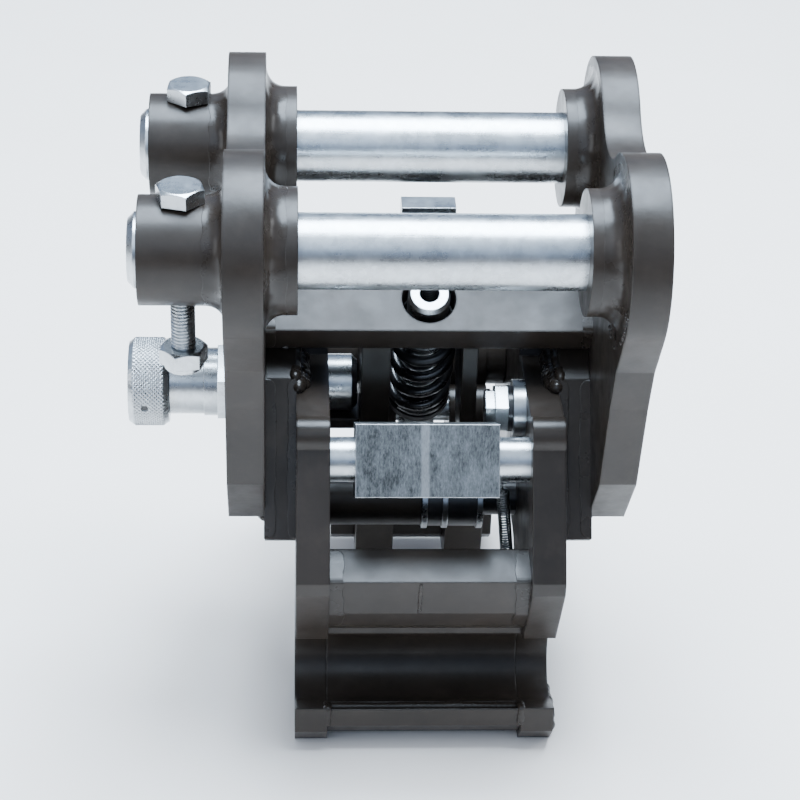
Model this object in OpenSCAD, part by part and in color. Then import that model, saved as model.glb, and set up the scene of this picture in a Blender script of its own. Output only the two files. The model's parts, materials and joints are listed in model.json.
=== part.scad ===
// Spring-locked quick coupler for a mini excavator dipper.
// X runs along the pins, +Y to the rear, +Z up. The origin is the middle of the front stick pin's axis.

/* [Stick pins] */
// Diameter of the two stick pins
pin_d = 30; // [25:0.5:32]
// Distance between the two stick pins
pin_spacing = 95; // [90:1:105]
// How far the pins stand out of the outer bosses
pin_proud = 4; // [1:0.5:8]
// Diameter of the pin bolts
bolt_d = 10; // [8:1:10]
// Length of the pin bolts below their heads
bolt_len = 75; // [72:1:85]

/* [Ear plates] */
// Distance over the outer faces of the ear plates
ear_width = 169; // [169:0.5:172]
// Thickness of an ear plate
ear_t = 15.5; // [12:0.5:16]
// Radius of the lobes around the stick pins
lobe_r = 39; // [36:0.5:42]
// Height of the saddle between the lobes
saddle_z = 21.5; // [15:0.5:25]
// Level of the ear plates' lower edge
ear_bottom_z = -137; // [-142:1:-132]

/* [Bosses] */
// Gap between the inner bosses, where the dipper goes
dipper_gap = 112; // [108:0.5:114]
// Diameter of the inner bosses
inner_boss_d = 50; // [46:0.5:54]
// Diameter of the outer bosses
outer_boss_d = 43; // [42:0.5:46]
// Length of the outer bosses
outer_boss_len = 33; // [30:0.5:36]

/* [Hook frame] */
// Distance over the outer faces of the hook plates
hook_width = 112; // [110:0.5:114]
// Thickness of a hook plate
hook_t = 14; // [12:0.5:15]
// Radius of the attachment pins' seats
seat_r = 15.5; // [13:0.1:16]
// Wall of the wear liner in the front seat
liner_t = 6; // [4:0.5:8]

/* [Spring rod] */
// Tilt of the deck plate and of the rod from the vertical
deck_tilt = 33; // [31:0.5:35]
// Thickness of the deck plate
deck_t = 16; // [14:0.5:17]
// Diameter of the spring rod
rod_d = 18; // [16:0.5:18]
// Outside diameter of the main spring
spring_od = 29; // [27:0.5:30]
// Wire diameter of the main spring
spring_wire = 5; // [4:0.25:5]

/* [Rear hook] */
// Angle through which the rear hook opens
open_angle = 20; // [10:1:20]
// Distance from the hook's pivot to the rod's pin
crank_r = 26; // [26:0.5:28]
// Diameter of the hook's pivot shaft
pivot_d = 18; // [16:0.5:20]

/* [Lock plunger] */
// Diameter of the plunger
plunger_d = 25; // [22:0.5:26]
// Diameter of the knurled knob
knob_d = 39; // [36:0.5:42]
// Length of the knurled knob
knob_len = 17.5; // [15:0.5:20]

/* [Safety catch] */
// Width, height and thickness of the catch block
catch_size = [60, 30.5, 26]; // [10:1:60]
// Diameter of the catch's pin
catch_pin_d = 19; // [16:0.5:20]

/* [Hidden] */
$fn = 64;
free = 0.3;                         // gap between parts that move past each other
slip = 0.05;                        // radial clearance of a sliding fit

paint = [0.29, 0.27, 0.26];
zinc = [0.78, 0.80, 0.82];
black = [0.08, 0.08, 0.09];

ear_out = ear_width / 2;
ear_in = ear_out - ear_t;
boss_face = dipper_gap / 2;
hook_out = hook_width / 2;
hook_in = hook_out - hook_t;
front_pin = [0, 0];
rear_pin = [pin_spacing, 0];
boss_end = ear_out + outer_boss_len;
bolt_x = -(ear_out + outer_boss_len / 2);
bolt_head_h = 6.4;
bolt_head_af = 17;
nut_h = 10;
nut_drop = 42.5;                    // from the pin's axis down to the top of the nut

// Places in the side view, as [Y, Z]
front_seat = [4, -206];
rear_seat = [140, -195];
catch_axis = [18, -108];
plunger_axis = [80, -107.4];
stay_axis = [60, -155];
anchor_axis = [48, -101];
spring_peg = [22, -121];
spring_stud = [22, -163];

// The rod runs down and back through the deck, at right angles to it
down = [sin(deck_tilt), -cos(deck_tilt)];
along = [cos(deck_tilt), sin(deck_tilt)];
deck_hole = [59, -53.5];
deck_front = 15.5;                  // from the hole's centre down to the deck's front edge
deck_rear = 24.5;                   // from the hole's centre up to its rear edge
deck_hole_d = 23;
rod_proud = 4.5;
collar_at = 88;
collar_t = 4;
link_at = 108;
link_d = 12;
eye_r = 10.8;
eye_w = 16;
link_point = deck_hole + link_at * down;
swing = open_angle / 2;
crank_side = crank_r * (1 + cos(swing)) / 2;
pivot = link_point + crank_side * along - crank_r * sin(swing) * down;

arm_left_x = [-27, -9.5];
arm_right_x = [15, 32.5];
hub_r = 14;
arm_boss_r = 17;
lever_top = [125, -40.5];
catch_x = -1.5;
flange_t = 5.5;
neck_t = 6;
sleeve_d = 28.5;
sleeve_end = ear_out + 26.5;
stem_d = 12;
plunger_travel = 13;
plunger_tip_x = -hook_in + plunger_travel;
cavity_end = sleeve_end - 3.5;

// Puts a side-view outline, drawn as [Y, Z], into the plate between x0 and x1
module plate(x0, x1) {
    translate([x0, 0, 0]) rotate([90, 0, 90]) linear_extrude(x1 - x0) children();
}

// A round bar along X at a side-view point
module bar(at, d, x0, x1) {
    translate([x0, at[0], at[1]]) rotate([0, 90, 0]) cylinder(h = x1 - x0, d = d);
}

// A hexagonal bar along X
module hex_bar(at, af, x0, x1) {
    translate([x0, at[0], at[1]]) rotate([0, 90, 0])
        cylinder(h = x1 - x0, d = af / cos(30), $fn = 6);
}

// Something drawn on +Z, laid along the rod's axis from a distance s below the deck's top face
module on_rod(s) {
    p = deck_hole + s * down;
    translate([0, p[0], p[1]]) rotate([180 + deck_tilt, 0, 0]) children();
}

module disc_at(p, r) {
    translate(p) circle(r = r, $fn = 96);
}

// Ear plates
saddle_r = (pin_spacing * pin_spacing / 4 + saddle_z * saddle_z - lobe_r * lobe_r)
    / (2 * (lobe_r - saddle_z));
saddle_c = [pin_spacing / 2, saddle_z + saddle_r];
tangent = saddle_c * lobe_r / (lobe_r + saddle_r);

module ear_outline() {
    difference() {
        union() {
            disc_at(front_pin, lobe_r);
            disc_at(rear_pin, lobe_r);
            polygon([[pin_spacing - 3, -10], [pin_spacing - tangent[0], tangent[1]], tangent, [3, -10]]);
            polygon([[-33.5, -20], [-19.5, -43], [-13, -64], [-4, -106], [18, ear_bottom_z],
                [106, ear_bottom_z], [116, -118], [133.5, -8], [pin_spacing, 2], [0, 2]]);
        }
        disc_at(saddle_c, saddle_r);
    }
}

module ear(side) {
    x0 = side < 0 ? -ear_out : ear_in;
    difference() {
        plate(x0, x0 + ear_t) ear_outline();
        bar(front_pin, pin_d + 2 * slip, x0 - 1, x0 + ear_t + 1);
        bar(rear_pin, pin_d + 2 * slip, x0 - 1, x0 + ear_t + 1);
        if (side < 0) bar(plunger_axis, plunger_d + 2 * slip, x0 - 1, x0 + ear_t + 1);
    }
}
module ear_left() { color(paint) ear(-1); }
module ear_right() { color(paint) ear(1); }

// Bosses: tubes around the stick pins
module outer_boss(at) {
    color(paint) difference() {
        bar(at, outer_boss_d, -boss_end, -ear_out);
        bar(at, pin_d + 2 * slip, -boss_end - 1, -ear_out + 1);
        bolt_hole(at);
    }
}
module bolt_hole(at) {
    translate([bolt_x, at[0], at[1] - 40]) cylinder(h = 80, d = bolt_d + 1);
}
module inner_boss(at, side) {
    x0 = side < 0 ? -ear_in : boss_face;
    color(paint) difference() {
        bar(at, inner_boss_d, x0, x0 + ear_in - boss_face);
        bar(at, pin_d + 2 * slip, x0 - 1, x0 + ear_in - boss_face + 1);
    }
}
module outer_boss_front() { outer_boss(front_pin); }
module outer_boss_rear() { outer_boss(rear_pin); }
module inner_boss_front_left() { inner_boss(front_pin, -1); }
module inner_boss_front_right() { inner_boss(front_pin, 1); }
module inner_boss_rear_left() { inner_boss(rear_pin, -1); }
module inner_boss_rear_right() { inner_boss(rear_pin, 1); }

// Stick pins with rounded ends and a cross hole for the bolt
module stick_pin(at) {
    x0 = -boss_end - pin_proud;
    x1 = ear_out;
    chamfer = 2.5;
    color(zinc) difference() {
        translate([x0, at[0], at[1]]) rotate([0, 90, 0]) rotate_extrude($fn = 96)
            polygon([[0, 0], [pin_d / 2 - chamfer, 0], [pin_d / 2, chamfer],
                [pin_d / 2, x1 - x0 - 1.5], [pin_d / 2 - 1.5, x1 - x0], [0, x1 - x0]]);
        bolt_hole(at);
    }
}
module stick_pin_front() { stick_pin(front_pin); }
module stick_pin_rear() { stick_pin(rear_pin); }

// Pin bolts: hex head on top of the boss, nut started on the end of the thread
module pin_bolt(at, turn) {
    top = outer_boss_d / 2;
    translate([bolt_x, at[0], at[1]]) {
        translate([0, 0, top - bolt_len]) cylinder(h = bolt_len, d = bolt_d);
        intersection() {
            translate([0, 0, top]) rotate([0, 0, turn])
                cylinder(h = bolt_head_h, d = bolt_head_af / cos(30), $fn = 6);
            translate([0, 0, top - 1]) rotate_extrude()
                polygon([[0, 0], [11, 0], [11, bolt_head_h - 0.4], [8, bolt_head_h + 1],
                    [0, bolt_head_h + 1]]);
        }
    }
}
front_bolt_turn = 20;
rear_bolt_turn = 36;
module pin_bolts() {
    color(zinc) {
        pin_bolt(front_pin, front_bolt_turn);
        pin_bolt(rear_pin, rear_bolt_turn);
    }
}
module pin_nut(at, turn) {
    dome = 3;
    translate([bolt_x, at[0], at[1] - nut_drop - nut_h]) difference() {
        union() {
            translate([0, 0, dome]) rotate([0, 0, turn])
                cylinder(h = nut_h - dome, d = bolt_head_af / cos(30), $fn = 6);
            cylinder(h = dome, d = bolt_head_af - 1.5);
        }
        translate([0, 0, -1]) cylinder(h = nut_h + 2, d = bolt_d + 2 * slip);
    }
}
module pin_nuts() {
    color(zinc) {
        pin_nut(front_pin, 12);
        pin_nut(rear_pin, 40);
    }
}

// Spacer plates between the ears and the hook plates
module spacer_outline() {
    polygon([[44, -84], [5, -140], [10, -144], [30, -148], [104, -144], [112, -118], [118, -80],
        [90, -58], [62, -74]]);
}
module spacer(side) {
    x0 = side < 0 ? -ear_in : hook_out;
    difference() {
        plate(x0, x0 + ear_in - hook_out) spacer_outline();
        if (side < 0) bar(plunger_axis, plunger_d + 2 * slip, x0 - 1, x0 + 20);
        plate(x0 - 1, x0 + 20) deck_outline(free);
    }
}
module spacer_left() { color(paint) spacer(-1); }
module spacer_right() { color(paint) spacer(1); }

// Way into the front seat: as wide as the seat, rising to the front
mouth_rise = 25;
mouth_reach = 60;
mouth_out = [-cos(mouth_rise), sin(mouth_rise)];
mouth_up = [sin(mouth_rise), cos(mouth_rise)];
module front_mouth() {
    polygon([front_seat + seat_r * mouth_up, front_seat + seat_r * mouth_up + mouth_reach * mouth_out,
        front_seat - seat_r * mouth_up + mouth_reach * mouth_out, front_seat - seat_r * mouth_up]);
}

// Hook plates: front seat open to the front, rear seat open downwards
module hook_outline() {
    difference() {
        union() {
            polygon([[-23, -143], [-23, -149], [-5, -184], front_seat, [-17, -212], [-17, -226],
                [-8, -237], [25, -237], [34, -222], [37, -206], [42, -190],
                [64, -172], [104, -170], [119, -182], [125, -190], rear_seat, [155.5, -203],
                [170, -203], [170, -160], [166, -112], [146, -84], [112, -52], [90, -57],
                [76, -91], [19, -88.5], [11, -93]]);
            disc_at([16, -95], 8);
        }
        disc_at(front_seat, seat_r);
        front_mouth();
        disc_at(rear_seat, seat_r);
        disc_at([62, -190], 18);
    }
}
module hook_plate(side) {
    x0 = side < 0 ? -hook_out : hook_in;
    x1 = x0 + hook_t;
    difference() {
        plate(x0, x1) hook_outline();
        bar(catch_axis, catch_pin_d + 2 * slip, x0 - 1, x1 + 1);
        bar(pivot, pivot_d + 2 * slip, x0 - 1, x1 + 1);
        bar(stay_axis, stay_d + 2 * slip, x0 - 1, x1 + 1);
        if (side < 0) bar(plunger_axis, plunger_d + 2 * slip, x0 - 1, x1 + 1);
        if (side > 0) bar(anchor_axis, anchor_d + 2 * slip, x0 - 1, x1 + 1);
        if (side > 0) bar(spring_stud, 4 + 2 * slip, x0 - 1, x0 + 8);
    }
}
module hook_plate_left() { color(paint) hook_plate(-1); }
module hook_plate_right() { color(paint) hook_plate(1); }

// Cross bars and liner of the front seat
module upper_lip_bar() {
    color(paint) plate(-hook_in, hook_in) difference() {
        polygon([[-18, -145.5], [-14, -164.5], [-8.2, -175.3], [4, -186], [9, -186], [12, -160],
            [-1, -140.5]]);
        disc_at(front_seat, seat_r + liner_t);
    }
}
module seat_liner() {
    color(paint) plate(-hook_in, hook_in) difference() {
        disc_at(front_seat, seat_r + liner_t);
        disc_at(front_seat, seat_r);
        front_mouth();
        polygon([front_seat, [4, -166], [-60, -166], [-60, -260], [-15.5, -260], [-11.5, -228]]);
    }
}
module lower_lip_bar() {
    color(paint) plate(-hook_in, hook_in) difference() {
        polygon([[-16, -214.2], [-4.9, -219.2], [4, -228], [4, -233], [-8, -233], [-16, -223.5]]);
        disc_at(front_seat, seat_r + liner_t);
    }
}

// Deck plate, tilted to face the rod
module deck_outline(grow = 0) {
    a = deck_hole - (deck_front + grow) * along - grow * down;
    b = deck_hole + (deck_rear + grow) * along - grow * down;
    c = b + (deck_t + 2 * grow) * down;
    d = a + (deck_t + 2 * grow) * down;
    polygon([a, b, c, d]);
}
module deck_plate() {
    color(paint) difference() {
        plate(-ear_in, ear_in) deck_outline();
        on_rod(-5) cylinder(h = deck_t + 10, d = deck_hole_d);
    }
}
// Ribs that guide the spring below the deck
module rib_outline() {
    foot = deck_hole - deck_front * along + deck_t * down;
    polygon([foot, foot + (deck_front + deck_rear - 4) * along, [99, -92], [82, -118], [72, -127],
        [foot[0] + 1, -127]]);
}
rib_left_x = [-28, -15.6];
rib_right_x = [15.2, 22];
module guide_rib_left() { color(paint) plate(rib_left_x[0], rib_left_x[1]) rib_outline(); }
module guide_rib_right() { color(paint) plate(rib_right_x[0], rib_right_x[1]) rib_outline(); }

// Stay shaft between the hook plates, with its sleeve, washers and block
stay_d = 16;
stay_sleeve_d = 25;
stay_sleeve_x1 = -0.2;
washer_t = 2.4;
washer_x = [0, 9, 24.4];            // left faces of the washers
module tube(at, od, id, x0, x1) {
    difference() {
        bar(at, od, x0, x1);
        bar(at, id, x0 - 1, x1 + 1);
    }
}
module stay_shaft() { color(black) bar(stay_axis, stay_d, -hook_out, hook_out); }
module stay_sleeve() {
    color(paint) tube(stay_axis, stay_sleeve_d, stay_d + 2 * slip, -hook_in, stay_sleeve_x1);
}
module stay_washers() {
    color(zinc) for (x = washer_x) {
        tube(stay_axis, 28, stay_d + 2 * slip, x, x + washer_t);
    }
}
module stay_block() {
    color(black) for (i = [0, 1]) {
        tube(stay_axis, 26, stay_d + 2 * slip, washer_x[i] + washer_t, washer_x[i + 1]);
    }
}

// Pivot shaft of the rear hook, held by two rings
shaft_end = hook_out + 5;
module pivot_shaft() {
    color(zinc) difference() {
        bar(pivot, pivot_d, -shaft_end, shaft_end);
        for (x = [-hook_out - 3.2, hook_out + 1.2]) tube(pivot, pivot_d + 2, pivot_d - 2, x, x + 2);
    }
}
module pivot_rings() {
    color(black) for (x = [-hook_out - 3.2, hook_out + 1.2]) {
        tube(pivot, pivot_d + 6, pivot_d - 2, x, x + 2);
    }
}

// Pin of the safety catch
module catch_pin() { color(zinc) bar(catch_axis, catch_pin_d, -hook_out, hook_out); }

// Anchor stud on the right hook plate with its washer, ring and nut
anchor_d = 12;
module anchor_stud() {
    color(zinc) {
        bar(anchor_axis, anchor_d, hook_in - 14, hook_out);
        hex_bar(anchor_axis, 15, hook_in - 17, hook_in - 13);
    }
}
module anchor_washer() { color(zinc) tube(anchor_axis, 25, anchor_d + 2 * slip, hook_in - 5.4, hook_in); }
module anchor_ring() {
    color(black) tube(anchor_axis, 20, anchor_d + 2 * slip, hook_in - 7.5, hook_in - 5.4);
}
module anchor_nut() {
    color(zinc) difference() {
        hex_bar(anchor_axis, 19, hook_in - 13, hook_in - 7.5);
        bar(anchor_axis, anchor_d + 2 * slip, hook_in - 14, hook_in - 7);
    }
}
module spring_hook_stud() { color(zinc) bar(spring_stud, 4, hook_in - 9, hook_in + 6); }

// Lock plunger: flange, neck and sleeve are fixed, the plunger and knob slide outwards
module plunger_flange() {
    color(zinc) difference() {
        hex_bar(plunger_axis, 32, -ear_out - flange_t, -ear_out);
        bar(plunger_axis, plunger_d + 2 * slip, -ear_out - flange_t - 1, -ear_out + 1);
    }
}
module plunger_neck() {
    color(zinc) difference() {
        bar(plunger_axis, sleeve_d + 1.5, -ear_out - flange_t - neck_t, -ear_out - flange_t);
        bar(plunger_axis, plunger_d + 2 * slip, -ear_out - 20, -ear_out);
    }
}
module plunger_sleeve() {
    x0 = -sleeve_end;
    x1 = -ear_out - flange_t - neck_t;
    color(zinc) difference() {
        bar(plunger_axis, sleeve_d, x0, x1);
        bar(plunger_axis, plunger_d + 2 * slip, -cavity_end, x1 + 1);
        bar(plunger_axis, stem_d + 2 * slip, x0 - 1, x1);
    }
}
module plunger_shelf() {
    color(paint) plate(-hook_in, rib_left_x[0])
        polygon([[70, -120.4], [92, -120.4], [92, -125.4], [70, -125.4]]);
}
module plunger() {
    tip = 2.5;
    color(zinc) {
        translate([-ear_out, plunger_axis[0], plunger_axis[1]]) rotate([0, 90, 0]) rotate_extrude()
            polygon([[0, 0], [plunger_d / 2, 0], [plunger_d / 2, plunger_tip_x + ear_out - tip],
                [plunger_d / 2 - tip, plunger_tip_x + ear_out], [0, plunger_tip_x + ear_out]]);
        bar(plunger_axis, stem_d, -sleeve_end - knob_len + 4, -ear_out);
    }
}
module plunger_knob() {
    x0 = -sleeve_end - free - knob_len;
    r = knob_d / 2;
    c = 1.8;
    color(zinc) difference() {
        translate([x0, plunger_axis[0], plunger_axis[1]]) rotate([0, 90, 0]) rotate_extrude()
            polygon([[0, 0], [r - c, 0], [r, c], [r, knob_len - c], [r - c, knob_len], [0, knob_len]]);
        bar(plunger_axis, stem_d + 2 * slip, -sleeve_end - knob_len + 4, 0);
        knob_pin_hole(3);
    }
}
knob_pin_x = -sleeve_end - knob_len + 7;
knob_pin_turn = 98;
module knob_pin_hole(d) {
    translate([knob_pin_x, plunger_axis[0], plunger_axis[1]]) rotate([knob_pin_turn, 0, 0])
        translate([0, 0, stem_d / 2]) cylinder(h = knob_d / 2 - stem_d / 2 + 1, d = d);
}
module knob_pin() {
    color(black) translate([knob_pin_x, plunger_axis[0], plunger_axis[1]]) rotate([knob_pin_turn, 0, 0])
        translate([0, 0, stem_d / 2 + 0.2]) cylinder(h = knob_d / 2 - stem_d / 2 - 1.2, d = 2.9);
}
module plunger_spring() {
    color(black) tube(plunger_axis, 22, 17, -cavity_end, -ear_out);
}

// Spring rod with a tapped end, its collar and the main spring
module spring_rod() {
    head = 2.6;
    color(zinc) difference() {
        union() {
            on_rod(-rod_proud) rotate_extrude()
                polygon([[0, 0], [rod_d / 2 - 1, 0], [rod_d / 2, head],
                    [rod_d / 2, rod_proud + link_at - 8], [0, rod_proud + link_at - 8]]);
            bar(link_point, 2 * eye_r, -eye_w / 2, eye_w / 2);
        }
        on_rod(-rod_proud - 1) cylinder(h = 23, d = 8.5);
        bar(link_point, link_d + 1, -20, 20);
    }
}
module rod_collar() {
    color(zinc) on_rod(collar_at) difference() {
        cylinder(h = collar_t, d = spring_od);
        translate([0, 0, -1]) cylinder(h = collar_t + 2, d = rod_d + 2 * slip);
    }
}
module main_spring() {
    color(black) on_rod(deck_t) difference() {
        cylinder(h = collar_at - deck_t - slip, d = spring_od);
        translate([0, 0, -1]) cylinder(h = collar_at - deck_t + 2, d = spring_od - 2 * spring_wire);
    }
}

// Rear hook: two arms, jaw bar, hub, release lever and link pin
module arm_outline() {
    difference() {
        union() {
            disc_at(pivot, arm_boss_r);
            disc_at(link_point, 11.5);
            polygon([[108.5, -150], [97, -190], [103, -217], [118, -223.5], [151, -224.5],
                [153, -217], [146, -209], rear_seat, [124.4, -195], [122.5, -182], [138, -160],
                pivot + [15.5, -5], pivot + [-5, 5]]);
        }
        disc_at(rear_seat, seat_r);
        disc_at(pivot, hub_r + slip);
    }
}
module arm(x) {
    color(paint) difference() {
        plate(x[0], x[1]) arm_outline();
        bar(link_point, link_d + 2 * slip, x[0] - 1, x[1] + 1);
    }
}
module hook_arm_left() { arm(arm_left_x); }
module hook_arm_right() { arm(arm_right_x); }
module jaw_outline() {
    difference() {
        polygon([[117, -186], [124.4, -190], rear_seat, [146, -209], [153, -217], [151, -224.5],
            [126, -223], [117, -215]]);
        disc_at(rear_seat, seat_r);
    }
}
jaw_half = 38.5;
module jaw_bar() {
    color(paint) {
        plate(-jaw_half, arm_left_x[0]) jaw_outline();
        plate(arm_left_x[1], arm_right_x[0]) jaw_outline();
        plate(arm_right_x[1], jaw_half) jaw_outline();
    }
}
module hook_hub() {
    color(paint) tube(pivot, 2 * hub_r, pivot_d + 2 * slip, -hook_in + free, hook_in - free);
}
module release_lever() {
    base = pivot + [-3, hub_r - 3];
    color(zinc) plate(arm_left_x[1] + 0.2, arm_right_x[0] - 0.2) difference() {
        polygon([base + [-7, 0], base + [7, 0], lever_top + [7, -3], lever_top + [4, 0],
            lever_top + [-7, 0]]);
        disc_at(pivot, hub_r + slip);
    }
}
module link_pin() { color(zinc) bar(link_point, link_d, arm_left_x[0] - 3.5, arm_right_x[1] + 3.5); }
module link_clips() {
    color(black) for (x = [arm_left_x[0] - 2.2, arm_right_x[1] + 0.4]) {
        tube(link_point, link_d + 6, link_d, x, x + 1.8);
    }
}

// Safety catch block, its spring peg and spring
catch_tilt = 30;
module catch_block() {
    color(zinc) difference() {
        translate([catch_x, catch_axis[0], catch_axis[1]]) rotate([-catch_tilt, 0, 0])
            cube([catch_size[0], catch_size[2], catch_size[1]], center = true);
        bar(catch_axis, catch_pin_d + 2 * slip, -60, 60);
        bar(spring_peg, 3.6, catch_x + catch_size[0] / 2 - 6, 60);
    }
}
module catch_peg() {
    x0 = catch_x + catch_size[0] / 2 - 6;
    color(zinc) bar(spring_peg, 3.5, x0, x0 + 11);
}
module catch_spring() {
    top = [catch_x + catch_size[0] / 2 + 3, spring_peg[0], spring_peg[1] - 3.2];
    low = [hook_in - 6, spring_stud[0], spring_stud[1] + 3.6];
    v = low - top;
    len = norm(v);
    color(black) translate(top) rotate([0, acos(v[2] / len), atan2(v[1], v[0])]) difference() {
        cylinder(h = len, d = 6);
        translate([0, 0, -1]) cylinder(h = len + 2, d = 3.8);
    }
}

ear_left();
ear_right();
outer_boss_front();
outer_boss_rear();
inner_boss_front_left();
inner_boss_front_right();
inner_boss_rear_left();
inner_boss_rear_right();
stick_pin_front();
stick_pin_rear();
pin_bolts();
pin_nuts();
spacer_left();
spacer_right();
hook_plate_left();
hook_plate_right();
upper_lip_bar();
seat_liner();
lower_lip_bar();
deck_plate();
guide_rib_left();
guide_rib_right();
stay_shaft();
stay_sleeve();
stay_washers();
stay_block();
pivot_shaft();
pivot_rings();
catch_pin();
anchor_stud();
anchor_washer();
anchor_ring();
anchor_nut();
spring_hook_stud();
plunger_flange();
plunger_neck();
plunger_sleeve();
plunger_shelf();
plunger();
plunger_knob();
knob_pin();
plunger_spring();
spring_rod();
rod_collar();
main_spring();
hook_arm_left();
hook_arm_right();
jaw_bar();
hook_hub();
release_lever();
link_pin();
link_clips();
catch_block();
catch_peg();
catch_spring();
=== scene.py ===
"""Looks of a spring-locked quick coupler for a mini excavator, built around its CAD frame."""

import json
import math

import bmesh
import bpy
import numpy as np
from bpy.props import FloatProperty, FloatVectorProperty, IntProperty, PointerProperty
from mathutils import Matrix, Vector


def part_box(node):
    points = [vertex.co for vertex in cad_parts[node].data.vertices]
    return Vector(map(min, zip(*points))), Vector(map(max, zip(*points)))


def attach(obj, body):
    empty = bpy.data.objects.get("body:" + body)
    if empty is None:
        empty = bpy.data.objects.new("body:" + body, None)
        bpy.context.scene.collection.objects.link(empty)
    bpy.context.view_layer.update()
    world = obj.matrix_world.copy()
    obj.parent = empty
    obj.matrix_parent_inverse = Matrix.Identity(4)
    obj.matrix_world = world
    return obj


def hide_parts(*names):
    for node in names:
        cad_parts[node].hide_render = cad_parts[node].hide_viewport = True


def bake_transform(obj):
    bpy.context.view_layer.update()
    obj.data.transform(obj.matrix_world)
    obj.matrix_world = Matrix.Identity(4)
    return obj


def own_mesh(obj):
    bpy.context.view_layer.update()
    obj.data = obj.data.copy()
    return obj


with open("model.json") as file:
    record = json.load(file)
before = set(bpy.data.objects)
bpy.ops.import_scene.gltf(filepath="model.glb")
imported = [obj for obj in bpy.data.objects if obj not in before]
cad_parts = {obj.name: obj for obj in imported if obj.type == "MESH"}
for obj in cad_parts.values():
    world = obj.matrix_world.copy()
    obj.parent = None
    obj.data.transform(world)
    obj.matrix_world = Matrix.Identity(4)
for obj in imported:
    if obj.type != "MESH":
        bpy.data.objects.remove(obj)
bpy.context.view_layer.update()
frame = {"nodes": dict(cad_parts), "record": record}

bl_info = {
    "name": "Quick Coupler Looks",
    "version": (1, 0, 0),
    "blender": (4, 5, 0),
    "location": "View3D > Sidebar > Coupler",
    "description": "Welds, springs, threads, finishes and studio for a quick coupler's CAD frame",
    "category": "Add Mesh",
}

MM = 0.001
CORNERS = {node: np.array(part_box(node), float) for node in frame["nodes"]}
EAR_IN = float(-CORNERS["ear_left"][1][0])      # inner faces of the ear plates, both sides
HOOK_OUT = float(CORNERS["hook_plate_right"][1][0])
HOOK_IN = float(CORNERS["hook_plate_right"][0][0])
FLOOR_Z = float(CORNERS["hook_plate_left"][0][2])

# Side-view places that several pieces share, as (Y, Z) in metres
ROD_TILT = math.radians(33.0)
ROD_DOWN = np.array([0.0, math.sin(ROD_TILT), -math.cos(ROD_TILT)])
DECK_ALONG = np.array([0.0, math.cos(ROD_TILT), math.sin(ROD_TILT)])
DECK_HOLE = np.array([0.0, 0.0590, -0.0535])
DECK_FRONT = 15.5 * MM
DECK_REAR = 24.5 * MM
DECK_THICK = 16.0 * MM
TURN = 2.0 * math.pi
X_AXIS = np.array([1.0, 0.0, 0.0])


# ---------------------------------------------------------------- settings

def tone_setting(name, description, default):
    """A colour that a user may change."""
    return FloatVectorProperty(name=name, description=description, subtype="COLOR", default=default,
                               min=0.0, max=1.0)


def length_setting(name, description, default, low, high):
    """A length that a user may change, given in millimetres."""
    return FloatProperty(name=name, description=description, unit="LENGTH", default=default * MM,
                         min=low * MM, max=high * MM)


class CouplerFinish(bpy.types.PropertyGroup):
    """Colours of the finishes."""

    # The paint's default colour is tinted warm as painted bounce light from a brown ground, over the paint's
    # own dark grey.
    paint: tone_setting("Paint", "Grey paint of the plates and bosses", (0.0215, 0.0160, 0.0122))
    zinc: tone_setting("Zinc", "Bright zinc plating of the pins, bolts and knob", (0.60, 0.63, 0.65))
    black: tone_setting("Black", "Gloss black of the springs and rings", (0.012, 0.011, 0.012))
    cut: tone_setting("Cut steel", "Flame-cut and plated face of the catch block", (0.205, 0.215, 0.215))


class CouplerWelds(bpy.types.PropertyGroup):
    """Sizes of the weld beads and fillets."""

    inner_reach: length_setting(
        "Inner fillet reach", "How far an inner boss's fillet spreads on its plate", 10.0, 2.0, 14.0)
    inner_rise: length_setting(
        "Inner fillet rise", "How far that fillet climbs along the boss", 8.7, 2.0, 12.0)
    outer_reach: length_setting(
        "Outer fillet reach", "How far an outer boss's fillet spreads on its plate", 6.5, 2.0, 12.0)
    outer_rise: length_setting(
        "Outer fillet rise", "How far that fillet climbs along the boss", 8.0, 2.0, 14.0)
    bead_pitch: length_setting("Ripple pitch", "Distance between the ripples of a bead", 3.2, 1.0, 8.0)
    unevenness: length_setting("Unevenness", "How much a fillet's radius wavers", 0.7, 0.0, 2.0)


class CouplerHardware(bpy.types.PropertyGroup):
    """Sizes of threads, knurling and coils."""

    thread_pitch: length_setting(
        "Thread pitch", "Pitch of the M10 bolts and of the rod's tapped end", 1.5, 0.5, 3.0)
    thread_depth: length_setting("Thread depth", "Depth of the bolts' thread", 0.85, 0.1, 1.5)
    knurl_pitch: length_setting(
        "Knurl pitch", "Distance between the knob's knurled ridges", 1.9, 0.8, 4.0)
    knurl_depth: length_setting("Knurl depth", "Height of the knob's knurled diamonds", 0.6, 0.1, 1.2)
    main_turns: FloatProperty(
        name="Main spring turns", description="Turns of the main spring, end turns included",
        default=6.2, min=3.0, max=14.0)
    catch_turns: IntProperty(
        name="Catch spring turns", description="Turns of the catch block's small spring",
        default=25, min=8, max=60)


class CouplerStage(bpy.types.PropertyGroup):
    """Studio around the coupler."""

    light: FloatProperty(
        name="Light", description="Strength of the studio's soft lights",
        default=1.7, min=0.1, max=4.0)
    sky: FloatProperty(
        name="Surround", description="Strength of the pale surround",
        default=0.9, min=0.0, max=3.0)


# ---------------------------------------------------------------- surfaces

def grid_faces(rows, columns, rows_close, columns_close, first):
    """Joins each point of a grid to the next row and column; a closed direction wraps to its start."""
    row, column = np.meshgrid(
        np.arange(rows if rows_close else rows - 1),
        np.arange(columns if columns_close else columns - 1), indexing="ij")
    next_row = (row + 1) % rows
    next_column = (column + 1) % columns
    quads = np.stack([row * columns + column, row * columns + next_column,
                      next_row * columns + next_column, next_row * columns + column], axis=-1)
    return first + quads.reshape(-1, 4)


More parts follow.
